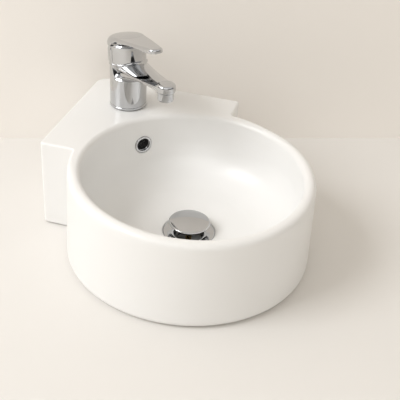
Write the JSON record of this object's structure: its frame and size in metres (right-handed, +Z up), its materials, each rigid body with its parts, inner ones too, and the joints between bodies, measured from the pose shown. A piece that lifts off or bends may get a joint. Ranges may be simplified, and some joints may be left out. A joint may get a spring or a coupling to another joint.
{
  "type": "corner basin",
  "caption": "Round wash basin with a square deck for a room corner, single-lever mixer tap and press-to-close waste.",
  "frame": {"origin": "the room corner at the height of the basin's deck, where its two wall planes meet", "axes": "+Z up, +Y from the bowl into the room corner, +X to the right seen from the bowl; the walls are the planes x + y = 0 and y - x = 0"},
  "size_m": [0.306, 0.4213, 0.2812],
  "materials": {
    "china": "white glaze",
    "chrome": "polished",
    "rubber": "black, dull",
    "seal_rubber": "black, smooth",
    "steel": "plain",
    "brass": "bare",
    "white_plastic": "dull",
    "grey_plastic": "dull",
    "disc_ceramic": "ground"
  },
  "bodies": {
    "fixed": {"basin": "china", "wall_bushes": "white_plastic", "overflow_ring": "chrome", "waste_body": "chrome", "waste_gasket": "rubber", "waste_cone_washer": "rubber", "waste_slip_washer": "white_plastic", "waste_backnut": "brass", "click_cartridge": "grey_plastic", "click_spring": "steel", "mixer_body": "chrome", "base_ring": "chrome", "base_gasket": "rubber", "clamp_washer": "rubber", "clamp_plate": "steel", "mounting_stud": "steel", "stud_nut": "brass", "aerator_housing": "chrome", "aerator_insert": "grey_plastic", "aerator_washer": "rubber", "port_seal": "rubber", "cartridge_base": "white_plastic", "fixed_disc": "disc_ceramic", "cartridge_body": "white_plastic", "clamp_nut": "brass", "neck_shroud": "chrome"},
    "turret": {"cartridge_rotor": "grey_plastic", "pivot_pin": "steel"},
    "lever": {"valve_stem": "brass", "lever_handle": "chrome", "handle_screw": "steel", "handle_button": "grey_plastic"},
    "slider": {"disc_slider": "white_plastic", "moving_disc": "disc_ceramic"},
    "plug": {"plug_cap": "chrome", "plug_seal": "seal_rubber", "plug_stem": "brass"}
  },
  "joints": [
    {"name": "temperature_turn", "type": "hinge", "parent": "fixed", "child": "turret", "pos_m": [0, -0.093, 0.055], "axis": [0, 0.1736, 0.9848], "range_deg": [-45, 45]},
    {"name": "lever_lift", "type": "hinge", "parent": "turret", "child": "lever", "pos_m": [0, -0.08987, 0.07273], "axis": [-1, 0, 0], "range_deg": [0, 22]},
    {"name": "disc_slide", "type": "slide", "parent": "turret", "child": "slider", "axis": [0, -0.9848, 0.1736], "range_m": [0, 0.0026]},
    {"name": "plug_press", "type": "slide", "parent": "fixed", "child": "plug", "axis": [0, 0, 1], "range_m": [-0.009, 0], "stiffness_N_per_m": 150, "springref_m": 0.02, "deforming": ["click_spring"]}
  ],
  "couplings": [
    {"joint": "disc_slide", "follows": "lever_lift", "m_per_rad": 0.00644}
  ]
}
